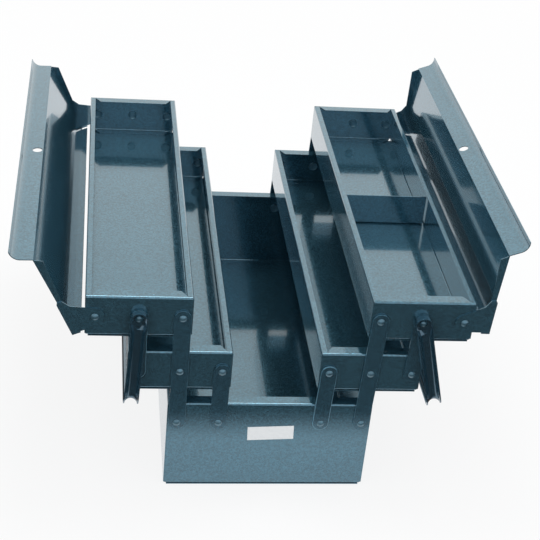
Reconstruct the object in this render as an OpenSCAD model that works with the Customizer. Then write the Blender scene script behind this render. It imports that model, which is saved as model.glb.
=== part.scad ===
// Cantilever tool box of folded sheet steel. A deep base carries two trays on each side,
// held by flat parallel links, and each upper tray has a hinged lid and a swinging handle.
// X runs across the box, Y along it and Z up. The origin is the middle of the base underside.

/* [Box] */
// outside width of the base box
base_w = 200; // [170:1:240]
// length of the base and of the trays
box_l = 434; // [320:1:560]
// height of the base box
base_h = 100; // [85:1:140]
// height of each tray
tray_h = 43; // [38:0.5:60]
// thickness of the folded sheet
sheet_t = 1; // [0.8:0.1:1.4]
// outside radius of the sheet's bends
bend_r = 2.2; // [1.6:0.1:2.6]
// radius of the lower corners of the end plates
plate_r = 3; // [2:0.1:5]
// gap between the two tray stacks when they are folded in
centre_gap = 1.4; // [1:0.1:4]
// how far a folded tray stays inside the side of the base
side_gap = 0.3; // [0.1:0.1:1]

/* [Rims] */
// inward fold along the top of each long wall
wall_fold = 5.7; // [4:0.1:8]
// inward fold along the top of each end plate
end_fold = 12.3; // [8:0.1:16]
// inward fold of each end plate on the floor
foot_fold = 10; // [6:0.5:14]
// the long folds stop this far short of the ends
fold_stop = 2.6; // [1.5:0.1:5]
// length over which the ends of the end folds taper
fold_taper = 5.3; // [3:0.1:8]
// depth at which that taper starts
taper_start = 3.7; // [2.8:0.1:6]

/* [Links] */
// length of the pivot line from a rim down to the rivets
rivet_drop = 21.4; // [18:0.1:24]
// distance from a tray wall to its outermost rivets
rivet_inset = 9.2; // [8.6:0.1:14]
// free height between stacked trays when folded
stack_gap = 1.5; // [0.8:0.1:3]
// width of the link bars
link_w = 16; // [12:0.5:17]
// thickness of the link bars
link_t = 1.6; // [1:0.1:2.4]
// outward lean of the left links
left_lean = 0; // [-1:0.1:3]
// outward lean of the right links
right_lean = 2.2; // [-1:0.1:3]

/* [Rivets] */
// radius of the rivet shanks
shank_r = 2.4; // [2:0.1:3]
// radius of the rivet heads
head_r = 3.7; // [3.4:0.1:5]
// height of the domed heads
head_h = 2; // [1.4:0.1:2.2]
// radius of the turned-over tails
tail_r = 5; // [4.2:0.1:5.6]
// height of the turned-over tails
tail_h = 1.4; // [0.8:0.1:2]

/* [Lids] */
// thickness of the lid sheet
lid_t = 0.8; // [0.6:0.1:1]
// width of the lid panel from its outer corner to the lip
panel_w = 86; // [80:0.1:86]
// height of the lid corner above the tray rim
lid_rise = 5; // [4:0.1:8]
// height of the short skirt outside the tray
skirt_h = 8.3; // [6:0.1:12]
// free length between the skirt and each ear
skirt_gap = 4.5; // [2:0.5:10]
// distance from the outer corner to the crease along the panel
crease_at = 35; // [28:1:42]
// depth of the crease
crease_h = 1.2; // [0.4:0.1:2]
// slope of the closed panel
panel_slope = 2.3; // [2.3:0.1:4]
// bend between the panel and the lip
lip_bend = 66.5; // [66:0.5:80]
// flat part of the lip
lip_flat = 11; // [10:0.5:11]
// outside radius of the curled lip
lip_r = 10.5; // [8:0.5:10.5]
// turn of the curl
lip_turn = 78; // [60:1:78]
// radius of the ear round the lid rivet
ear_r = 9; // [7:0.1:10]
// step from the skirt's outer face back to the ear's edge
ear_step = 1.4; // [0.6:0.1:2]
// width of the folds at the ends of the lip side
lip_fold_run = 4; // [2:0.5:8]
// radius of the padlock holes
lock_r = 4.9; // [3.5:0.1:5]
// opening angle of the left lid
left_lid = 112.2; // [80:0.1:115]
// opening angle of the right lid
right_lid = 91; // [80:0.1:115]

/* [Handles] */
// free height between the lower tray and the grip of a hanging handle
grip_gap = 9; // [4:0.1:30]
// radius of the half-round section
grip_r = 7.2; // [6:0.1:8]
// depth of the half-round section
grip_depth = 6.4; // [5:0.1:7]
// thickness of the handle sheet
grip_t = 1.1; // [0.8:0.1:1.5]
// length of the flat floor of the eye below the rivet
eye_flat = 7; // [5:0.1:14]
// height over which the eye narrows to the arm
neck_h = 8; // [4:0.1:12]
// how far the rim of the handle steps back round the eye
rim_drop = 2.5; // [0:0.1:4]
// inside radius of the handle corners
corner_r = 5; // [3:0.5:8]
// outward lean of the left handle
left_hang = 3; // [0:0.5:20]
// outward lean of the right handle
right_hang = 14.3; // [0:0.1:20]

/* [Fittings] */
// height of the divider above the tray floor
divider_h = 34; // [20:1:36]
// width of the divider's foot on the tray floor
divider_foot = 9; // [5:0.5:15]
// position of the divider along the tray
divider_at = 7; // [-80:1:80]
// width of the blank sticker
label_w = 45.5; // [30:0.5:60]
// height of the blank sticker
label_h = 16; // [10:0.5:24]

/* [Hidden] */
$fn = 48;
run_fit = 0.05;          // radial clearance of a pivot
snug = 0.02;             // clearance round a fixed rivet
slip = 0.3;              // free space between sliding plates
eps = 0.05;
end_y = box_l / 2;
tray_w = base_w / 2 - side_gap - centre_gap / 2;
pitch = tray_w / 2 - rivet_inset;
mid_x = centre_gap / 2 + tray_w / 2;
base_x = mid_x + pitch;
base_z = base_h - rivet_drop;
fold_rise = tray_h + stack_gap;
link_len = sqrt(pitch * pitch + fold_rise * fold_rise);
below_rivet = tray_h - rivet_drop;
link_out = slip + link_t;
eye_in = link_out + slip;
eye_out = eye_in + grip_t;
grip_back = link_out + slip / 2 + head_h + slip + 0.15;
ear_in = slip + 0.1;
ear_out = ear_in + lid_t;
lid_in = 0.2;
jog_t = 1;               // thickness of the jog between an end fold and its ear
ear_neck = 7;            // run of the ear's bend towards the jog
ear_turn = 38;           // direction at which the ear's edge leaves its round end
lid_clear = 1.4;         // between the skirt of a shut lid and the tray wall
corner_x = rivet_inset + lid_t + lid_clear;
corner_z = rivet_drop + lid_rise;
knee_gap = 0.4;          // between the end folds of a shut lid and the tray rim
above_rim = rivet_drop + knee_gap;
crease_run = 2;          // width of the crease's slope
handle_reach = link_len + below_rivet + grip_gap;
wall_in = sheet_t + eps; // from the outside of a box to its fixed end plates
tail_rim = 0.5;          // width of the rim round the hollow of a tail
tail_floor = 0.4;        // thickness left under that hollow
relief = 3;              // reach of the reliefs in the bottom corners
divider_play = bend_r - sheet_t; // at each side, clear of the floor's bends
label_tilt = 2.5;
label_x = 2.4;
label_z = 65;
label_t = 0.2;
paint = [0.30, 0.42, 0.50];
paint_dark = [0.24, 0.35, 0.43];
rivet_paint = [0.34, 0.46, 0.54];
white = [0.93, 0.94, 0.94];

// ---- pivots, for a side drawn towards +X, as [x, z] ----
function reach(lean, n) = [base_x, base_z] + n * link_len * [sin(lean), cos(lean)];
function side_lean(left) = left ? left_lean : right_lean;
function side_lid(left) = left ? left_lid : right_lid;
function side_hang(left) = left ? left_hang : right_hang;

// ---- folded strips ----
function right_of(a, b) = let (v = b - a) [v[1], -v[0]] / norm(v);
function inset_path(p, t) = [
    for (i = [0 : len(p) - 1])
        i == 0 ? p[0] + t * right_of(p[0], p[1])
        : i == len(p) - 1 ? p[i] + t * right_of(p[i - 1], p[i])
        : let (a = right_of(p[i - 1], p[i]), b = right_of(p[i], p[i + 1]))
            p[i] + t * (a + b) / (1 + a * b)
];
function flip(p) = [for (i = [len(p) - 1 : -1 : 0]) p[i]];

// a folded strip of sheet seen from its end, with its thickness to the right of the path
module strip(path, t) {
    polygon(concat(path, flip(inset_path(path, t))));
}

// stretches an X-Z outline from y0 to y1
module along_y(y0, y1) {
    translate([0, y1, 0]) rotate([90, 0, 0]) linear_extrude(height = y1 - y0) children();
}

// stretches a Y-Z outline by this width, half to each side
module along_x(wide) {
    rotate([90, 0, 90]) linear_extrude(height = wide, center = true) children();
}

module on_side(left) {
    if (left) mirror([1, 0, 0]) children();
    else children();
}

module at_end(rear) {
    if (rear) mirror([0, 1, 0]) children();
    else children();
}

// ---- boxes ----
// rounded rectangle standing on the X axis
module rounded(w, h, r) {
    translate([-w / 2 + r, 0]) square([w - 2 * r, h]);
    translate([-w / 2, r]) square([w, h - 2 * r]);
    for (x = [-w / 2 + r, w / 2 - r], z = [r, h - r]) translate([x, z]) circle(r = r);
}

// section of the bent sheet: a rounded tube
module tube(w, h) {
    difference() {
        rounded(w, h, bend_r);
        translate([0, sheet_t]) rounded(w - 2 * sheet_t, h - 2 * sheet_t, bend_r - sheet_t);
    }
}

// floor, two long walls and their folded rims
module shell(w, h) {
    mouth = w - 2 * wall_fold;
    difference() {
        along_y(-end_y + 0.2, end_y - 0.2)
            difference() {
                tube(w, h);
                translate([-mouth / 2, h - sheet_t - eps]) square([mouth, sheet_t + 2 * eps]);
            }
        for (sx = [-1, 1], sy = [-1, 1]) {
            fold_end(sx, sy, w, h);
            corner_relief(sx, sy, w);
        }
    }
}

// clears the end of a long fold
module fold_end(sx, sy, w, h) {
    long = 2 * fold_stop;
    wide = wall_fold;
    translate([sx * (w / 2 - sheet_t - wide / 2), sy * end_y, h])
        cube([wide, long, 2 * bend_r], center = true);
}

// small relief where wall, floor and end plate meet
module corner_relief(sx, sy, w) {
    translate([sx * w / 2, sy * end_y, 0]) cube(2 * relief, center = true);
}

// end plate between the long walls, with a rim fold and a foot fold
module end_plate(w, h, pivots) {
    half = w / 2 - wall_in;
    deep = max(end_fold, foot_fold);
    difference() {
        intersection() {
            // bent sheet
            translate([0, -end_y, wall_in]) rotate([90, 0, 90])
                linear_extrude(height = 2 * half, center = true)
                    intersection() {
                        translate([deep, 0]) tube(2 * deep, h - wall_in);
                        square([deep, h]);
                    }
            // outline of both folds
            translate([0, -end_y, 0]) union() {
                translate([0, 0, h / 2]) linear_extrude(height = h) rim_outline(w, half);
                linear_extrude(height = h / 2 + eps) foot_outline(half);
            }
            // rounded lower corners
            translate([0, 0, wall_in])
                along_y(-end_y - 1, -end_y + deep + 1) rounded(2 * half, 2 * h, plate_r);
        }
        for (p = pivots)
            translate([p[0], -end_y - 1, p[1]])
                rotate([-90, 0, 0]) cylinder(r = shank_r + snug, h = sheet_t + 2);
    }
}

module rim_outline(w, half) {
    inner = w / 2 - wall_fold - 0.5;
    lead = fold_stop - slip;
    polygon([
        [-half, 0], [half, 0], [half, lead], [inner, lead],
        [inner, taper_start], [inner - fold_taper, end_fold],
        [-inner + fold_taper, end_fold], [-inner, taper_start],
        [-inner, lead], [-half, lead]
    ]);
}

module foot_outline(half) {
    lead = half - bend_r;
    polygon([
        [-half, 0], [half, 0], [half, sheet_t], [lead, bend_r],
        [lead - foot_fold + bend_r, foot_fold], [-lead + foot_fold - bend_r, foot_fold],
        [-lead, bend_r], [-half, sheet_t]
    ]);
}

// ---- rivets ----
// domed head outside, dished tail inside, drawn on the front end
module rivet(p, grip) {
    dome_r = (head_r * head_r + head_h * head_h) / (2 * head_h);
    hollow = tail_h - tail_floor;
    translate([p[0], -end_y, p[1]]) rotate([90, 0, 0]) {
        translate([0, 0, -sheet_t - tail_h + hollow / 2])
            cylinder(r = shank_r, h = sheet_t + tail_h - hollow / 2 + grip + 0.2);
        intersection() {
            translate([0, 0, grip]) cylinder(r = head_r, h = head_h + 1);
            translate([0, 0, grip + head_h - dome_r]) sphere(r = dome_r);
        }
        difference() {
            translate([0, 0, -sheet_t - tail_h - eps]) cylinder(r = tail_r, h = tail_h);
            translate([0, 0, -sheet_t - tail_h - 2 * eps])
                cylinder(r1 = tail_r - tail_rim, r2 = shank_r + slip, h = hollow);
        }
    }
}

module rivet_set(pivots, grips) {
    for (rear = [false, true], i = [0 : len(pivots) - 1])
        at_end(rear) rivet(pivots[i], grips[i]);
}

// ---- links ----
// flat bar from pivot p upwards, leaning outwards, with a bore at each step
module link_bar(p, lean, steps, rear) {
    long = steps * link_len;
    at_end(rear)
        along_y(-end_y - link_out, -end_y - slip)
            translate(p) rotate(-lean)
                difference() {
                    union() {
                        translate([-link_w / 2, 0]) square([link_w, long]);
                        circle(r = link_w / 2);
                        translate([0, long]) circle(r = link_w / 2);
                    }
                    for (i = [0 : steps])
                        translate([0, i * link_len]) circle(r = shank_r + run_fit);
                }
}

// ---- trays ----
module tray_at(left, n) {
    p = reach(side_lean(left), n);
    on_side(left)
        translate([p[0] + (n - 1) * pitch, 0, p[1] - below_rivet]) children();
}

function tray_pivots() = [for (i = [-1 : 1]) [i * pitch, below_rivet]];
link_grip = link_out + slip / 2;
handle_grip = eye_out + slip / 2;
lid_grip = ear_out + slip / 2;

// ---- lids ----
// closed profile about the lid rivet, first value towards the middle of the box
function on_panel(u, up) = [-corner_x, corner_z]
    + u * [cos(panel_slope), sin(panel_slope)] + up * [-sin(panel_slope), cos(panel_slope)];
lip_root = on_panel(panel_w, 0);
lip_dir = panel_slope + lip_bend;
lip_end = lip_root + lip_flat * [cos(lip_dir), sin(lip_dir)];
curl_mid = lip_end + lip_r * [sin(lip_dir), -cos(lip_dir)];

crease_low = on_panel(crease_at + crease_run, -crease_h);

module lid_outline() {
    strip([
        [-corner_x, corner_z - skirt_h], on_panel(0, 0), on_panel(crease_at, 0),
        crease_low, lip_root, lip_end
    ], lid_t);
    translate(curl_mid) rotate(lip_dir)
        difference() {
            circle(r = lip_r);
            circle(r = lip_r - lid_t);
            translate([-lip_r - 1, -lip_r - 1]) square([lip_r + 1, 2 * lip_r + 2]);
            rotate(90 - lip_turn) translate([-lip_r - 1, -lip_r - 1])
                square([2 * lip_r + 2, lip_r + 1]);
        }
}

// ear that reaches down to the rivet
module ear_outline() {
    edge = -corner_x + ear_step;
    foot = corner_z - skirt_h;
    difference() {
        union() {
            circle(r = ear_r);
            polygon([
                [-ear_r, 0], [edge, ear_r], [edge, foot], [-corner_x, foot],
                on_panel(0, 0), on_panel(crease_at, 0), crease_low,
                [crease_low[0], above_rim], [crease_low[0] - ear_neck, above_rim - ear_neck / 1.5],
                ear_r * [cos(ear_turn), -sin(ear_turn)], [0, 0]
            ]);
        }
        circle(r = shank_r + run_fit);
    }
}

// fold along the end of the panel, resting just above the tray rim
module lid_fold_outline() {
    polygon([
        crease_low, lip_root, [lip_root[0] - lip_fold_run, above_rim],
        [crease_low[0] - jog_t, above_rim], [crease_low[0] - jog_t, crease_low[1] - lid_t / 2]
    ]);
}

module lid_closed() {
    inner = -end_y + lid_in;
    jog_h = crease_low[1] - above_rim - lid_t / 2;
    difference() {
        union() {
            along_y(inner, -inner) lid_outline();
            for (rear = [false, true]) at_end(rear) {
                along_y(inner, inner + lid_t) lid_fold_outline();
                along_y(-end_y - ear_out, -end_y - ear_in) ear_outline();
                along_y(-end_y - ear_out, inner + eps)
                    intersection() {
                        lid_outline();
                        translate([-corner_x - 1, 0])
                            square([corner_x + crease_low[0] + 1, 2 * corner_z]);
                    }
                along_y(-end_y - ear_out, inner + lid_t)
                    translate([crease_low[0] - jog_t, above_rim]) square([jog_t, jog_h]);
            }
        }
        lock_hole();
        for (rear = [false, true]) at_end(rear) skirt_notch();
    }
}

// opening between the skirt and an ear
module skirt_notch() {
    bend = corner_z - 2 * lid_t;
    translate([-corner_x - eps, -end_y - ear_in, bend - skirt_h])
        cube([2 * lid_t, ear_in + lid_in + skirt_gap, skirt_h]);
}

module lock_hole() {
    mid = (lip_root + lip_end) / 2;
    translate([mid[0], 0, mid[1]])
        rotate([0, 180 - lip_dir, 0]) cylinder(r = lock_r, h = 4 * lock_r, center = true);
}

module lid(left) {
    p = reach(side_lean(left), 2) + [2 * pitch, 0];
    on_side(left)
        translate([p[0], 0, p[1]]) rotate([0, side_lid(left), 0]) mirror([1, 0, 0]) lid_closed();
}

// ---- handles ----
// half-round section, back at the origin and hollow side towards +Y
module grip_section() {
    translate([0, grip_r])
        difference() {
            circle(r = grip_r);
            circle(r = grip_r - grip_t);
            translate([-grip_r - 1, grip_depth - grip_r]) square([2 * grip_r + 2, 2 * grip_r]);
        }
}

// one arm, one corner and the eye, hanging from the rivet at the origin of the front end
// inside of the cup round the rivet and of the neck below it, or the outside with no wall
module eye_hollow(wall) {
    r = link_w / 2 + slip - wall;
    half = grip_r - wall;
    axis_y = -end_y - grip_back - grip_r;
    floor_y = -end_y - eye_in - wall;
    high = eye_flat + neck_h + r;
    spread = (floor_y - axis_y - half) * high / neck_h;
    intersection() {
        along_y(axis_y, floor_y) {
            circle(r = r);
            polygon([
                [-r, 0], [r, 0], [r, -eye_flat], [half, -eye_flat - neck_h],
                [-half, -eye_flat - neck_h], [-r, -eye_flat]
            ]);
        }
        translate([0, axis_y, -eye_flat - neck_h])
            cylinder(h = high, r1 = half, r2 = half + spread);
    }
}

module handle_end() {
    back = -end_y - grip_back;
    rim = back - grip_depth;
    neck_end = eye_flat + neck_h;
    arm = handle_reach - corner_r;
    // straight arm, its hollow side outwards
    translate([0, back, -arm]) rotate([0, 0, 180])
        linear_extrude(height = arm - neck_end) grip_section();
    // cup round the rivet
    difference() {
        intersection() {
            eye_hollow(0);
            along_x(3 * link_w)
                polygon([
                    [-end_y, -neck_end], [rim, -neck_end], [rim + rim_drop, 0],
                    [rim + rim_drop, link_w], [-end_y, link_w]
                ]);
        }
        eye_hollow(grip_t);
    }
    // corner
    translate([0, back + corner_r, -arm]) rotate([90, 180, 90])
        rotate_extrude(angle = 90) translate([corner_r, 0]) mirror([1, -1]) grip_section();
}

module handle(left) {
    p = reach(side_lean(left), 2) + [pitch, 0];
    back = -end_y - grip_back;
    on_side(left)
        translate([p[0], 0, p[1]]) rotate([0, -side_hang(left), 0])
            difference() {
                union() {
                    for (rear = [false, true]) at_end(rear) handle_end();
                    along_y(back + corner_r, -back - corner_r)
                        translate([0, -handle_reach]) mirror([0, 1]) grip_section();
                }
                rotate([90, 0, 0]) cylinder(r = shank_r + run_fit, h = -2 * back, center = true);
            }
}

// ---- nodes ----
module base_shell() {
    color(paint) shell(base_w, base_h);
}

function base_pivots() = [for (x = [-base_x, -base_x + pitch, base_x - pitch, base_x]) [x, base_z]];

module base_end(rear) {
    color(paint) at_end(rear) end_plate(base_w, base_h, base_pivots());
}

module base_rivets() {
    color(rivet_paint) rivet_set(base_pivots(), [for (i = [0 : 3]) link_grip]);
}

module base_label() {
    color(white)
        translate([label_x, -end_y, label_z]) rotate([0, -label_tilt, 0])
            translate([-label_w / 2, -label_t, -label_h / 2]) cube([label_w, label_t, label_h]);
}

module long_link(left, rear) {
    color(paint_dark) on_side(left)
        link_bar([base_x, base_z], side_lean(left), 2, rear);
}

module inner_link(left, rear) {
    color(paint_dark) on_side(left)
        link_bar([base_x - pitch, base_z], side_lean(left), 1, rear);
}

module outer_link(left, rear) {
    color(paint_dark) on_side(left)
        link_bar(reach(side_lean(left), 1) + [pitch, 0], side_lean(left), 1, rear);
}

module tray_shell(left, n) {
    color(paint) tray_at(left, n) shell(tray_w, tray_h);
}

module tray_end(left, n, rear) {
    color(paint) tray_at(left, n) at_end(rear) end_plate(tray_w, tray_h, tray_pivots());
}

module tray_rivets(left, n) {
    color(rivet_paint) tray_at(left, n)
        rivet_set(tray_pivots(), n == 1 ? [link_grip, link_grip, link_grip]
            : [link_grip, handle_grip, lid_grip]);
}

module right_divider() {
    wide = tray_w - 2 * sheet_t - 2 * divider_play;
    color(paint) tray_at(false, 2)
        translate([0, divider_at, wall_in]) along_x(wide)
            intersection() {
                translate([divider_h, 0]) tube(2 * divider_h, 2 * divider_h);
                union() {
                    square([sheet_t, divider_h]);
                    square([divider_foot, sheet_t]);
                    square([bend_r, bend_r]);
                }
            }
}

base_shell();
base_end(false);  // base_front_end
base_end(true);  // base_rear_end
base_rivets();
base_label();
long_link(true, false);  // left_long_link_front
long_link(true, true);  // left_long_link_rear
inner_link(true, false);  // left_inner_link_front
inner_link(true, true);  // left_inner_link_rear
outer_link(true, false);  // left_outer_link_front
outer_link(true, true);  // left_outer_link_rear
tray_shell(true, 1);  // left_lower_shell
tray_end(true, 1, false);  // left_lower_front_end
tray_end(true, 1, true);  // left_lower_rear_end
tray_rivets(true, 1);  // left_lower_rivets
tray_shell(true, 2);  // left_upper_shell
tray_end(true, 2, false);  // left_upper_front_end
tray_end(true, 2, true);  // left_upper_rear_end
tray_rivets(true, 2);  // left_upper_rivets
color(paint) lid(true);  // left_lid
color(paint_dark) handle(true);  // left_handle
long_link(false, false);  // right_long_link_front
long_link(false, true);  // right_long_link_rear
inner_link(false, false);  // right_inner_link_front
inner_link(false, true);  // right_inner_link_rear
outer_link(false, false);  // right_outer_link_front
outer_link(false, true);  // right_outer_link_rear
tray_shell(false, 1);  // right_lower_shell
tray_end(false, 1, false);  // right_lower_front_end
tray_end(false, 1, true);  // right_lower_rear_end
tray_rivets(false, 1);  // right_lower_rivets
tray_shell(false, 2);  // right_upper_shell
tray_end(false, 2, false);  // right_upper_front_end
tray_end(false, 2, true);  // right_upper_rear_end
tray_rivets(false, 2);  // right_upper_rivets
right_divider();
color(paint) lid(false);  // right_lid
color(paint_dark) handle(false);  // right_handle
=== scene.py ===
import math

import bmesh
import bpy
from bpy.props import FloatProperty, FloatVectorProperty, IntProperty, PointerProperty
from mathutils import Matrix, Vector


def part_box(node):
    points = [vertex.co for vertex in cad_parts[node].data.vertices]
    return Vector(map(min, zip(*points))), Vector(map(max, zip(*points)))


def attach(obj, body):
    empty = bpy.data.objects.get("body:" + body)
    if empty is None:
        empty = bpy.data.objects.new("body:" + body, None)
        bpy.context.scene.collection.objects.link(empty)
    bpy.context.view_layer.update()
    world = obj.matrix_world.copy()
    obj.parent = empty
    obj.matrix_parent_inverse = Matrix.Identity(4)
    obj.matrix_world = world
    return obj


bl_info = {
    "name": "Cantilever Tool Box",
    "version": (1, 0, 0),
    "blender": (4, 5, 0),
    "location": "View3D > Sidebar > Tool Box",
    "description": "Finishes a folding steel tool box and sets up its studio",
    "category": "Add Mesh",
}

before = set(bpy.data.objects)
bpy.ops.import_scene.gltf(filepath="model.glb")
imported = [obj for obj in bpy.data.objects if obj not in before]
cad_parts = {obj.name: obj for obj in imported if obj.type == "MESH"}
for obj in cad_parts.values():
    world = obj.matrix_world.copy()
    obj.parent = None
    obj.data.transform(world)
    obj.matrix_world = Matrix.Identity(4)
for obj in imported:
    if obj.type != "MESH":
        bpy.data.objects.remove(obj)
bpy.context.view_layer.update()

MM = 0.001
MIX_COLOURS = (6, 7)  # the two colour inputs of a Mix node
MIX_RESULT = 2        # and its colour output
CLOUD_DETAIL = 3.0    # octaves of noise in clouds and mottle
GRAIN_DETAIL = 2.0    # and in fine grain
SENSOR_WIDTH = 36.0   # of the camera, in mm
NEAREST = 0.01        # the camera sees nothing closer than this, in metres
LARGE_FACES = 100     # weight with which large faces set the normals round them
WHITE = (1.0, 1.0, 1.0)
SIDES = ("left", "right")
LEVELS = ("lower", "upper")
ENDS = ("front", "rear")


# ---- settings ----
class PaintSettings(bpy.types.PropertyGroup):
    """Colours and texture of the hammertone enamel."""

    body: FloatVectorProperty(
        name="Body enamel", description="Colour of the sheet parts", subtype="COLOR",
        size=3, min=0, max=1, default=(0.062, 0.180, 0.250),
    )
    fittings: FloatVectorProperty(
        name="Fittings enamel", description="Colour of the link bars", subtype="COLOR",
        size=3, min=0, max=1, default=(0.054, 0.160, 0.228),
    )
    # Painted shade: the handles' enamel is a darker copy of the body's, standing in for the shade
    # inside their channels.
    handles: FloatVectorProperty(
        name="Handle enamel", description="Colour of the two handles", subtype="COLOR",
        size=3, min=0, max=1, default=(0.036, 0.108, 0.160),
    )
    # Painted highlight: a lighter enamel on the rounded edges of the link bars and handles,
    # standing in for the light that those edges catch.
    edges: FloatVectorProperty(
        name="Edge enamel", description="Colour of the thin paint on the edges of the fittings",
        subtype="COLOR", size=3, min=0, max=1, default=(0.100, 0.280, 0.390),
    )
    flake: FloatProperty(
        name="Flake size", description="Size of the speckle in the enamel",
        subtype="DISTANCE", default=1.3 * MM, min=0.1 * MM, max=5 * MM,
    )
    contrast: FloatProperty(
        name="Flake contrast", description="How far the flakes differ from the paint's colour",
        subtype="FACTOR", default=0.35, min=0, max=1,
    )
    drift: FloatProperty(
        name="Cloud size", description="Size of the soft clouds in the paint's tone",
        subtype="DISTANCE", default=60 * MM, min=5 * MM, max=500 * MM,
    )
    drift_share: FloatProperty(
        name="Cloud share", description="Share of the clouds in the paint's tone",
        subtype="FACTOR", default=0.25, min=0, max=1,
    )
    metal: FloatProperty(
        name="Metal", description="Share of metal flake in the paint", subtype="FACTOR",
        default=0.7, min=0, max=1,
    )
    smoothness: FloatProperty(
        name="Smoothest flake", description="Roughness of the smoothest flakes",
        subtype="FACTOR", default=0.09, min=0, max=1,
    )
    uneven: FloatProperty(
        name="Unevenness", description="How much rougher the roughest flakes are",
        subtype="FACTOR", default=0.12, min=0, max=1,
    )
    haze: FloatProperty(
        name="Haze", description="Extra roughness of the paint on rivets and edges",
        subtype="FACTOR", default=0.22, min=0, max=0.5,
    )
    gloss: FloatProperty(
        name="Clear coat", description="Roughness of the clear top coat", subtype="FACTOR",
        default=0.06, min=0, max=1,
    )
    gloss_ior: FloatProperty(
        name="Clear coat IOR", description="Index of refraction of the clear top coat",
        default=1.7, min=1, max=2.5,
    )
    orange_peel: FloatProperty(
        name="Hammer mark depth", description="Depth of the hammered texture",
        subtype="DISTANCE", default=0.04 * MM, min=0, max=0.5 * MM,
    )
    hammer_mark: FloatProperty(
        name="Hammer mark size", description="Size of a hammer mark in flakes",
        default=1.6, min=0.5, max=5,
    )
    hammer_blend: FloatProperty(
        name="Hammer mark softness", description="How softly the hammer marks run together",
        subtype="FACTOR", default=0.6, min=0, max=1,
    )
    rivet_flake: FloatProperty(
        name="Rivet flake", description="Size of the speckle on the rivets, as a share",
        default=0.7, min=0.1, max=2,
    )
    rivet_relief: FloatProperty(
        name="Rivet relief", description="Depth of the hammer marks on the rivets, as a share",
        default=0.6, min=0, max=2,
    )
    thin_relief: FloatProperty(
        name="Thin paint relief", default=0.5, min=0, max=2,
        description="Depth of the hammer marks on the handles and the edges, as a share",
    )


class EdgeSettings(bpy.types.PropertyGroup):
    """Rounding of the cut edges."""

    sheet: FloatProperty(
        name="Sheet edges", description="Radius of the painted edges of the sheet",
        subtype="DISTANCE", default=0.36 * MM, min=0, max=0.4 * MM,
    )
    plate: FloatProperty(
        name="Link edges", description="Radius of the edges of the link bars",
        subtype="DISTANCE", default=0.7 * MM, min=0, max=0.9 * MM,
    )
    rivet: FloatProperty(
        name="Rivet edges", description="Radius of the edges of the turned-over tails",
        subtype="DISTANCE", default=0.65 * MM, min=0, max=0.7 * MM,
    )
    segments: IntProperty(
        name="Segments", description="Steps in each rounded edge", default=3, min=1, max=5,
    )
    weld: FloatProperty(
        name="Weld", description="Points closer than this are joined first",
        subtype="DISTANCE", default=0.002 * MM, min=0, max=0.01 * MM,
    )
    flat: FloatProperty(
        name="Flat angle", description="Faces that meet at less than this become one",
        subtype="ANGLE", default=math.radians(0.3), min=0, max=math.radians(5),
    )
    sharp: FloatProperty(
        name="Sharp angle", description="Edges sharper than this are rounded",
        subtype="ANGLE", default=math.radians(40), min=math.radians(20), max=math.radians(80),
    )


class StickerSettings(bpy.types.PropertyGroup):
    """The blank sticker on the base."""

    paper: FloatVectorProperty(
        name="Film", description="Colour of the blank film", subtype="COLOR",
        size=3, min=0, max=1, default=(0.91, 0.91, 0.90),
    )
    roughness: FloatProperty(
        name="Roughness", description="Roughness of the smoothest film", subtype="FACTOR",
        default=0.38, min=0, max=1,
    )
    mottle: FloatProperty(
        name="Mottle size", description="Size of the faint spots in the film",
        subtype="DISTANCE", default=4 * MM, min=0.5 * MM, max=20 * MM,
    )
    grain: FloatProperty(
        name="Grain size", description="Size of the film's fine grain", subtype="DISTANCE",
        default=0.6 * MM, min=0.1 * MM, max=5 * MM,
    )
    grain_depth: FloatProperty(
        name="Grain depth", description="Depth of the film's fine grain", subtype="DISTANCE",
        default=0.01 * MM, min=0, max=0.1 * MM,
    )
    dark: FloatProperty(
        name="Dark spots", description="Tone of the darkest spots, as a share",
        default=0.97, min=0.5, max=1,
    )
    light: FloatProperty(
        name="Light spots", description="Tone of the lightest spots, as a share",
        default=1.02, min=1, max=1.5,
    )
    uneven: FloatProperty(
        name="Unevenness", description="How much rougher the roughest film is",
        subtype="FACTOR", default=0.12, min=0, max=1,
    )
    gloss: FloatProperty(
        name="Gloss", description="Weight of the film's clear coat", subtype="FACTOR",
        default=0.15, min=0, max=1,
    )


class MarkSettings(bpy.types.PropertyGroup):
    """The small marks in the paint on the end plates' folds."""

    radius: FloatProperty(
        name="Mark radius", description="Outer radius of each mark", subtype="DISTANCE",
        default=1.7 * MM, min=0.5 * MM, max=3 * MM,
    )
    height: FloatProperty(
        name="Mark height", description="How far the ring of each mark stands up",
        subtype="DISTANCE", default=0.25 * MM, min=0.1 * MM, max=0.3 * MM,
    )
    sheet: FloatProperty(
        name="Sheet", description="Thickness of the foot folds", subtype="DISTANCE",
        default=1.0 * MM, min=0.5 * MM, max=2 * MM,
    )
    from_end: FloatProperty(
        name="Distance from the end", description="From the end plate to the marks",
        subtype="DISTANCE", default=6.0 * MM, min=3 * MM, max=9 * MM,
    )
    rim_share: FloatProperty(
        name="Place on the rim", description="Share of the width from the middle to the mark",
        default=0.13, min=-0.4, max=0.4,
    )
    foot_share: FloatProperty(
        name="Place on the foot", description="Share of the width from the middle to the mark",
        default=-0.05, min=-0.4, max=0.4,
    )


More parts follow.
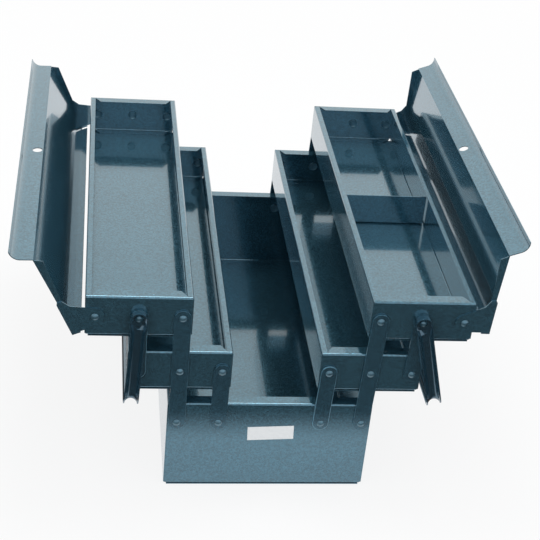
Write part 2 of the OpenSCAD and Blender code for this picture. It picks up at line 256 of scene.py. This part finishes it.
class StudioSettings(bpy.types.PropertyGroup):
    """Floor, lamps and camera."""

    floor: FloatVectorProperty(
        name="Floor", description="Colour of the paper under the box", subtype="COLOR",
        size=3, min=0, max=1, default=(0.86, 0.87, 0.88),
    )
    table: FloatVectorProperty(
        name="Table", description="Colour round the paper in reflections", subtype="COLOR",
        size=3, min=0, max=1, default=(0.050, 0.034, 0.028),
    )
    paper_half: FloatProperty(
        name="Paper half width", description="Reach of the paper to each side",
        subtype="DISTANCE", default=0.215,
    )
    paper_front: FloatProperty(
        name="Paper front", description="Where the paper ends in front of the box",
        subtype="DISTANCE", default=-0.315,
    )
    paper_back: FloatProperty(
        name="Bright back", description="Where the floor behind the box turns bright",
        subtype="DISTANCE", default=0.7,
    )
    paper_blur: FloatProperty(
        name="Paper edge", description="Softness of the edge of the paper",
        subtype="DISTANCE", default=0.03,
    )
    back_blur: FloatProperty(
        name="Bright back edge", description="Softness of the edge of the bright back",
        subtype="DISTANCE", default=0.12,
    )
    paper_glow: FloatProperty(
        name="Paper glow", description="Share of the floor's tone that takes no shadow",
        subtype="FACTOR", default=0.85, min=0, max=1,
    )
    fade_from: FloatProperty(
        name="Fade from", description="Distance at which the floor starts to fade to white",
        subtype="DISTANCE", default=0.7,
    )
    fade_to: FloatProperty(
        name="Fade to", description="Distance from which the floor is plain white",
        subtype="DISTANCE", default=2.0,
    )
    front_room: FloatVectorProperty(
        name="Room in front", description="Colour of the room behind the camera",
        subtype="COLOR", size=3, min=0, max=1, default=(0.80, 0.84, 0.88),
    )
    back_room: FloatVectorProperty(
        name="Room behind", description="Colour of the bright room behind the box",
        subtype="COLOR", size=3, min=0, max=1, default=(1.0, 0.98, 0.95),
    )
    room_from: FloatProperty(
        name="Front room ends", description="Y of the direction in which the room starts to change",
        default=-0.5, min=-1, max=1,
    )
    room_to: FloatProperty(
        name="Back room starts", description="Y of the direction from which the back room is seen",
        default=0.2, min=-1, max=1,
    )
    grain: FloatProperty(
        name="Paper grain", description="Size of the faint grain of the paper",
        subtype="DISTANCE", default=3 * MM, min=0.5 * MM,
    )
    grain_tone: FloatProperty(
        name="Grain tone", description="How far the grain differs from the paper's colour",
        subtype="FACTOR", default=0.01, min=0, max=0.1,
    )
    floor_half: FloatProperty(
        name="Floor half width", description="Reach of the floor to each side",
        subtype="DISTANCE", default=4.0, min=1,
    )
    floor_drop: FloatProperty(
        name="Floor drop", description="How far the floor lies below the box",
        subtype="DISTANCE", default=0.2 * MM, min=0,
    )
    top_at: FloatVectorProperty(
        name="Top lamp place", description="Where the lamp hangs", subtype="TRANSLATION",
        unit="LENGTH", size=3, default=(0, 0.3, 1.6),
    )
    top_aim: FloatVectorProperty(
        name="Top lamp aim", description="The point that the lamp faces", subtype="TRANSLATION",
        unit="LENGTH", size=3, default=(0, 0, 0.1),
    )
    top_size: FloatProperty(
        name="Top lamp size", description="Side of the square lamp", subtype="DISTANCE",
        default=0.7, min=0.05,
    )
    top_power: FloatProperty(
        name="Top lamp", description="Power of the lamp over the box", subtype="POWER",
        unit="POWER", default=7.0, min=0,
    )
    camera_at: FloatVectorProperty(
        name="Camera place", description="Where the camera stands", subtype="TRANSLATION",
        unit="LENGTH", size=3, default=(-0.1749, -1.25214, 0.88461),
    )
    camera_pitch: FloatProperty(
        name="Camera pitch", description="How far the camera looks down", subtype="ANGLE",
        default=0.54321,
    )
    camera_yaw: FloatProperty(
        name="Camera yaw", description="How far the camera turns to the right", subtype="ANGLE",
        default=0.15367,
    )
    camera_roll: FloatProperty(
        name="Camera roll", description="How far the camera leans", subtype="ANGLE",
        default=0.10203,
    )
    lens: FloatProperty(
        name="Lens", description="Focal length on a 36 mm wide sensor", default=89.92, min=10,
    )


# ---- materials ----
class Wire:
    """A number in a node tree. The operators add Math nodes."""

    def __init__(self, shader, socket):
        self.shader = shader
        self.socket = socket

    def math(self, operation, *numbers):
        """A Math node on these numbers, which may be wires."""
        values = dict(enumerate(numbers))
        return self.shader.node("ShaderNodeMath", {"operation": operation}, values)

    def __add__(self, other):
        return self.math("ADD", self, other)

    def __mul__(self, other):
        return self.math("MULTIPLY", self, other)

    def __rsub__(self, other):
        return self.math("SUBTRACT", other, self)

    __radd__ = __add__
    __rmul__ = __mul__

    def size(self):
        """The number without its sign."""
        return self.math("ABSOLUTE", self)

    def most(self, other):
        """The larger of the two."""
        return self.math("MAXIMUM", self, other)

    def clamp(self):
        """The number, kept between 0 and 1."""
        return self.shader.node("ShaderNodeClamp", {}, {"Value": self})

    def step(self, low, high):
        """0 below low, 1 above high and smooth between them."""
        settings = {"interpolation_type": "SMOOTHSTEP"}
        limits = {"Value": self, "From Min": low, "From Max": high}
        return self.shader.node("ShaderNodeMapRange", settings, limits)


class Shader:
    """The node tree of a material, or of the world."""

    def __init__(self, name, kind="materials"):
        self.owner = getattr(bpy.data, kind).new(name)
        self.owner.use_nodes = True
        self.tree = self.owner.node_tree
        self.tree.nodes.clear()

    def node(self, kind, settings, values, output=0):
        """Adds a node with its settings and socket values and gives one of its outputs."""
        node = self.tree.nodes.new(kind)
        for key, value in settings.items():
            setattr(node, key, value)
        for key, value in values.items():
            self.put(node.inputs[key], value)
        return Wire(self, node.outputs[output])

    def put(self, socket, value):
        """Links a wire to a socket, or sets the socket's value."""
        if isinstance(value, Wire):
            self.tree.links.new(value.socket, socket)
        elif socket.type == "RGBA" and len(value) == 3:
            socket.default_value = (*value, 1)
        else:
            socket.default_value = value

    def place(self):
        """The point in the piece's own frame."""
        return self.node("ShaderNodeTexCoord", {}, {}, "Object")

    def noise(self, size, detail):
        """Soft noise with spots of about this size in metres."""
        values = {"Vector": self.place(), "Scale": 1 / size, "Detail": detail}
        return self.node("ShaderNodeTexNoise", {}, values)

    def cells(self, size):
        """A random number for each small cell of about this size."""
        values = {"Vector": self.place(), "Scale": 1 / size}
        colour = self.node("ShaderNodeTexVoronoi", {}, values, "Color")
        return self.node("ShaderNodeSeparateColor", {}, {"Color": colour})

    def hammered(self, size, blend):
        """The round pits of hammertone enamel, which run together softly."""
        settings = {"feature": "SMOOTH_F1"}
        values = {"Vector": self.place(), "Scale": 1 / size, "Smoothness": blend}
        return self.node("ShaderNodeTexVoronoi", settings, values, "Distance")

    def mix(self, factor, first, second):
        """Mixes two colours."""
        values = {"Factor": factor, MIX_COLOURS[0]: first, MIX_COLOURS[1]: second}
        return self.node("ShaderNodeMix", {"data_type": "RGBA"}, values, MIX_RESULT)

    def bump(self, height, distance):
        """Relief of this height in metres, for a Normal socket."""
        return self.node("ShaderNodeBump", {}, {"Height": height, "Distance": distance})

    def finish(self, shader, output="ShaderNodeOutputMaterial"):
        """Shows this shader and gives the material or world."""
        end = self.tree.nodes.new(output)
        self.tree.links.new(shader.socket, end.inputs["Surface"])
        return self.owner

    def surface(self, values):
        """A Principled material with these values."""
        return self.finish(self.node("ShaderNodeBsdfPrincipled", {}, values))


def tint(colour, share):
    """A colour made lighter or darker."""
    return tuple(min(1.0, part * share) for part in colour)


def enamel(name, colour, fineness=1.0, relief=1.0, haze=0.0):
    """Blue-grey hammertone enamel: flakes, soft hammer marks and a clear gloss."""
    paint = bpy.context.scene.toolbox_paint
    shader = Shader(name)
    flake = fineness * paint.flake
    speck = shader.cells(flake)
    drift = shader.noise(paint.drift, CLOUD_DETAIL)
    marks = shader.hammered(paint.hammer_mark * flake, paint.hammer_blend)
    shade = ((1.0 - paint.drift_share) * speck + paint.drift_share * drift).clamp()
    dark, light = 1.0 - paint.contrast, 1.0 + paint.contrast
    return shader.surface({
        "Base Color": shader.mix(shade, tint(colour, dark), tint(colour, light)),
        "Metallic": paint.metal,
        "Roughness": (paint.smoothness + haze + paint.uneven * speck).clamp(),
        "Coat Weight": 1.0,
        "Coat Roughness": paint.gloss + haze,
        "Coat IOR": paint.gloss_ior,
        "Normal": shader.bump(marks, relief * paint.orange_peel),
    })


def film(name):
    """White plastic film with a faint mottle."""
    sticker = bpy.context.scene.toolbox_sticker
    shader = Shader(name)
    mottle = shader.noise(sticker.mottle, CLOUD_DETAIL)
    grain = shader.noise(sticker.grain, GRAIN_DETAIL)
    dark, light = tint(sticker.paper, sticker.dark), tint(sticker.paper, sticker.light)
    return shader.surface({
        "Base Color": shader.mix(mottle, dark, light),
        "Roughness": (sticker.roughness + sticker.uneven * mottle).clamp(),
        "Coat Weight": sticker.gloss,
        "Normal": shader.bump(grain, sticker.grain_depth),
    })


def material(name):
    """Finds a finish or makes it."""
    found = bpy.data.materials.get(name)
    if found:
        return found
    paint = bpy.context.scene.toolbox_paint
    makers = {
        "body_enamel": lambda: enamel(name, paint.body),
        "fitting_enamel": lambda: enamel(name, paint.fittings),
        "rivet_enamel": lambda: enamel(
            name, paint.body, paint.rivet_flake, paint.rivet_relief, paint.haze),
        # painted highlight: lighter enamel on the rounded edges of the link bars and handles
        "edge_enamel": lambda: enamel(
            name, paint.edges, relief=paint.thin_relief, haze=paint.haze),
        # painted shade: a darker copy of the enamel for the handles, for the shade in their
        # channels
        "handle_enamel": lambda: enamel(name, paint.handles, relief=paint.thin_relief),
        "sticker_film": lambda: film(name),
    }
    return makers[name]()


# ---- finishing the frame's pieces ----
def dress(node, finish, edge="sheet", rim=None):
    """Paints a piece of the frame and rounds its cut edges; the rounded edges may have their own
    finish, a lighter enamel that is a painted highlight.
    """
    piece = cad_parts[node]
    piece.data.materials.clear()
    piece.data.materials.append(material(finish))
    if rim:
        piece.data.materials.append(material(rim))
    if edge:
        edges = bpy.context.scene.toolbox_edges
        weld = piece.modifiers.new("weld", "WELD")
        weld.merge_threshold = edges.weld
        flat = piece.modifiers.new("flat faces", "DECIMATE")
        flat.decimate_type = "DISSOLVE"
        flat.angle_limit = edges.flat
        bevel = piece.modifiers.new("rounding", "BEVEL")
        bevel.width = getattr(edges, edge)
        bevel.segments = edges.segments
        bevel.limit_method = "ANGLE"
        bevel.angle_limit = edges.sharp
        bevel.use_clamp_overlap = True
        # the rounded edges take the second finish when there is one, a lighter enamel that is a
        # painted highlight
        bevel.material = 1 if rim else -1
        normals = piece.modifiers.new("normals", "WEIGHTED_NORMAL")
        normals.keep_sharp = False
        normals.weight = LARGE_FACES
    return piece


class TOOLBOX_OT_base(bpy.types.Operator):
    """Paint the folded base"""

    bl_idname = "toolbox.base"
    bl_label = "Base"

    def execute(self, context):
        for node in ("base_shell", "base_front_end", "base_rear_end"):
            dress(node, "body_enamel")
        return {"FINISHED"}


class TOOLBOX_OT_trays(bpy.types.Operator):
    """Paint the four trays and the divider"""

    bl_idname = "toolbox.trays"
    bl_label = "Trays"

    def execute(self, context):
        for side in SIDES:
            for level in LEVELS:
                for part in ("shell", "front_end", "rear_end"):
                    dress(f"{side}_{level}_{part}", "body_enamel")
        dress("right_divider", "body_enamel")
        return {"FINISHED"}


class TOOLBOX_OT_links(bpy.types.Operator):
    """Paint the link bars"""

    bl_idname = "toolbox.links"
    bl_label = "Links"

    def execute(self, context):
        for side in SIDES:
            for kind in ("long", "inner", "outer"):
                for end in ENDS:
                    dress(
                        f"{side}_{kind}_link_{end}", "fitting_enamel", "plate", "edge_enamel")
        return {"FINISHED"}


class TOOLBOX_OT_rivets(bpy.types.Operator):
    """Paint the rivets"""

    bl_idname = "toolbox.rivets"
    bl_label = "Rivets"

    def execute(self, context):
        dress("base_rivets", "rivet_enamel", "rivet")
        for side in SIDES:
            for level in LEVELS:
                dress(f"{side}_{level}_rivets", "rivet_enamel", "rivet")
        return {"FINISHED"}


class TOOLBOX_OT_lids(bpy.types.Operator):
    """Paint the two lids"""

    bl_idname = "toolbox.lids"
    bl_label = "Lids"

    def execute(self, context):
        for side in SIDES:
            dress(f"{side}_lid", "body_enamel")
        return {"FINISHED"}


class TOOLBOX_OT_handles(bpy.types.Operator):
    """Paint the two channel handles"""

    bl_idname = "toolbox.handles"
    bl_label = "Handles"

    def execute(self, context):
        for side in SIDES:
            dress(f"{side}_handle", "handle_enamel", rim="edge_enamel")
        return {"FINISHED"}


# half section of a mark, as shares of its radius and height
MARK_OUTLINE = (
    (0.0, -0.3), (1.0, -0.3), (0.92, 0.35), (0.74, 0.9), (0.56, 1.0), (0.36, 0.5), (0.0, 0.2),
)
MARK_STEPS = 24
MARK_JOIN = 0.001 * MM  # points of a mark closer than this become one


def pips(name, places, radius, height):
    """Small rings with a pit in the middle, turned from one outline and set on flat sheet."""
    mesh = bpy.data.meshes.new(name)
    shape = bmesh.new()
    for place in places:
        path = [
            shape.verts.new(Vector(place) + Vector((radius * out, 0, height * up)))
            for out, up in MARK_OUTLINE
        ]
        edges = [shape.edges.new(pair) for pair in zip(path, path[1:])]
        bmesh.ops.spin(
            shape, geom=path + edges, cent=place, axis=(0, 0, 1), angle=math.tau, steps=MARK_STEPS,
            use_merge=True, use_duplicate=False)
    bmesh.ops.remove_doubles(shape, verts=shape.verts, dist=MARK_JOIN)
    bmesh.ops.recalc_face_normals(shape, faces=shape.faces)
    shape.to_mesh(mesh)
    shape.free()
    for face in mesh.polygons:
        face.use_smooth = True
    mesh.materials.append(material("body_enamel"))
    piece = bpy.data.objects.new(name, mesh)
    bpy.context.scene.collection.objects.link(piece)
    return piece


class TOOLBOX_OT_hook_marks(bpy.types.Operator):
    """Add the marks that the paint hooks left on the rims and foot folds"""

    bl_idname = "toolbox.hook_marks"
    bl_label = "Hook marks"

    def execute(self, context):
        marks = context.scene.toolbox_marks
        boxes = {"base": "base"}
        for side in SIDES:
            for level in LEVELS:
                boxes[f"{side}_{level}"] = f"{side}_{level}_tray"
        for box, body in boxes.items():
            places = []
            for end, inward in (("front", 1), ("rear", -1)):
                low, high = (Vector(corner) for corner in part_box(f"{box}_{end}_end"))
                outer = low.y if inward > 0 else high.y
                wide = high.x - low.x
                middle = (low.x + high.x) / 2
                y = outer + inward * marks.from_end
                places.append((middle + marks.rim_share * wide, y, high.z))
                places.append((middle + marks.foot_share * wide, y, low.z + marks.sheet))
            piece = pips(f"{box}_hook_marks", places, marks.radius, marks.height)
            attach(piece, body)
        return {"FINISHED"}


class TOOLBOX_OT_sticker(bpy.types.Operator):
    """Finish the blank sticker"""

    bl_idname = "toolbox.sticker"
    bl_label = "Sticker"

    def execute(self, context):
        dress("base_label", "sticker_film", None)
        return {"FINISHED"}


# ---- studio ----
def studio_world(settings):
    """White to the camera, bright behind the box and dimmer on the camera's side."""
    shader = Shader("studio", "worlds")
    way = shader.node("ShaderNodeTexCoord", {}, {}, "Generated")
    along = shader.node("ShaderNodeSeparateXYZ", {}, {"Vector": way}, "Y")
    back = along.step(settings.room_from, settings.room_to)
    seen = shader.node("ShaderNodeLightPath", {}, {}, "Is Camera Ray")
    room = shader.mix(back, settings.front_room, settings.back_room)
    light = shader.node("ShaderNodeBackground", {}, {"Color": shader.mix(seen, room, WHITE)})
    bpy.context.scene.world = shader.finish(light, "ShaderNodeOutputWorld")


def top_lamp(settings):
    """One square lamp over the box."""
    data = bpy.data.lights.new("top_lamp", "AREA")
    data.shape = "RECTANGLE"
    data.size = data.size_y = settings.top_size
    data.energy = settings.top_power
    piece = bpy.data.objects.new("top_lamp", data)
    bpy.context.scene.collection.objects.link(piece)
    piece.location = settings.top_at
    way = Vector(settings.top_aim) - Vector(settings.top_at)
    piece.rotation_euler = way.to_track_quat("-Z", "Y").to_euler()


def floor_paper(name, settings):
    """Pale paper that keeps the shadow. In reflections it ends in a dim table round the box."""
    shader = Shader(name)
    grain = shader.noise(settings.grain, GRAIN_DETAIL)
    dark, light = 1.0 - settings.grain_tone, 1.0 + settings.grain_tone
    paper = shader.mix(grain, tint(settings.floor, dark), tint(settings.floor, light))
    across = shader.node("ShaderNodeSeparateXYZ", {}, {"Vector": shader.place()}, "X")
    along = shader.node("ShaderNodeSeparateXYZ", {}, {"Vector": shader.place()}, "Y")
    half, front, back = settings.paper_half, settings.paper_front, settings.paper_back
    blur, back_blur = settings.paper_blur, settings.back_blur
    sheet = (1.0 - across.size().step(half - blur, half + blur)) * along.step(
        front - blur, front + blur)
    lit = sheet.most(along.step(back - back_blur, back + back_blur))
    mirrored = shader.node("ShaderNodeLightPath", {}, {}, "Is Glossy Ray")
    seen = shader.node("ShaderNodeLightPath", {}, {}, "Is Camera Ray")
    room = shader.mix(lit, settings.table, paper)
    colour = shader.mix(mirrored, paper, room)
    tone = shader.mix(mirrored, WHITE, room)
    matte = shader.node("ShaderNodeBsdfDiffuse", {}, {"Color": colour})
    glow = shader.node("ShaderNodeEmission", {}, {"Color": tone})
    away = shader.node("ShaderNodeVectorMath", {"operation": "LENGTH"}, {0: shader.place()}, 1)
    far = away.step(settings.fade_from, settings.fade_to)
    share = (settings.paper_glow + (1.0 - settings.paper_glow) * far) * seen.most(mirrored)
    both = shader.node("ShaderNodeMixShader", {}, {0: share, 1: matte, 2: glow})
    return shader.finish(both)


def camera(settings):
    """Looks down at the box from the front."""
    pitch, yaw, roll = settings.camera_pitch, settings.camera_yaw, settings.camera_roll
    ahead = Vector((math.sin(yaw) * math.cos(pitch), math.cos(yaw) * math.cos(pitch),
                    -math.sin(pitch)))
    right = Vector((math.cos(yaw), -math.sin(yaw), 0))
    up = right.cross(ahead)
    across = math.cos(roll) * right + math.sin(roll) * up
    upright = -math.sin(roll) * right + math.cos(roll) * up
    data = bpy.data.cameras.new("camera")
    data.sensor_width = SENSOR_WIDTH
    data.sensor_fit = "HORIZONTAL"
    data.lens = settings.lens
    data.clip_start = NEAREST
    piece = bpy.data.objects.new("camera", data)
    bpy.context.scene.collection.objects.link(piece)
    turn = Matrix((across, upright, -ahead)).transposed().to_4x4()
    piece.matrix_world = Matrix.Translation(settings.camera_at) @ turn
    bpy.context.scene.camera = piece


class TOOLBOX_OT_studio(bpy.types.Operator):
    """Set up the floor, lamps, surroundings and camera"""

    bl_idname = "toolbox.studio"
    bl_label = "Studio"

    def execute(self, context):
        settings = context.scene.toolbox_studio
        context.scene.view_settings.view_transform = "Standard"
        studio_world(settings)
        half = settings.floor_half
        mesh = bpy.data.meshes.new("floor")
        corners = [(-half, -half), (half, -half), (half, half), (-half, half)]
        level = -settings.floor_drop
        mesh.from_pydata([(x, y, level) for x, y in corners], [], [(0, 1, 2, 3)])
        floor = bpy.data.objects.new("floor", mesh)
        context.scene.collection.objects.link(floor)
        mesh.materials.append(floor_paper("floor_paper", settings))
        top_lamp(settings)
        camera(settings)
        return {"FINISHED"}


class TOOLBOX_PT_panel(bpy.types.Panel):
    """Lists the steps that finish the tool box"""

    bl_label = "Tool Box"
    bl_space_type = "VIEW_3D"
    bl_region_type = "UI"
    bl_category = "Tool Box"

    def draw(self, context):
        for operator in OPERATORS:
            self.layout.operator(operator.bl_idname)
        for group in GROUPS:
            settings = getattr(context.scene, group)
            for key in settings.bl_rna.properties.keys():
                if key not in ("rna_type", "name"):
                    self.layout.prop(settings, key)


GROUPS = {
    "toolbox_paint": PaintSettings,
    "toolbox_edges": EdgeSettings,
    "toolbox_sticker": StickerSettings,
    "toolbox_marks": MarkSettings,
    "toolbox_studio": StudioSettings,
}
OPERATORS = (
    TOOLBOX_OT_base, TOOLBOX_OT_trays, TOOLBOX_OT_links, TOOLBOX_OT_rivets, TOOLBOX_OT_lids,
    TOOLBOX_OT_handles, TOOLBOX_OT_hook_marks, TOOLBOX_OT_sticker, TOOLBOX_OT_studio,
)


def register():
    for kind in (*GROUPS.values(), *OPERATORS, TOOLBOX_PT_panel):
        bpy.utils.register_class(kind)
    for name, kind in GROUPS.items():
        setattr(bpy.types.Scene, name, PointerProperty(type=kind))


def unregister():
    for name in GROUPS:
        delattr(bpy.types.Scene, name)
    for kind in (TOOLBOX_PT_panel, *reversed(OPERATORS), *reversed(list(GROUPS.values()))):
        bpy.utils.unregister_class(kind)


def main():
    register()
    bpy.ops.toolbox.base()
    bpy.ops.toolbox.trays()
    bpy.ops.toolbox.links()
    bpy.ops.toolbox.rivets()
    bpy.ops.toolbox.lids()
    bpy.ops.toolbox.handles()
    bpy.ops.toolbox.hook_marks()
    bpy.ops.toolbox.sticker()
    bpy.ops.toolbox.studio()


if __name__ == "__main__":
    main()
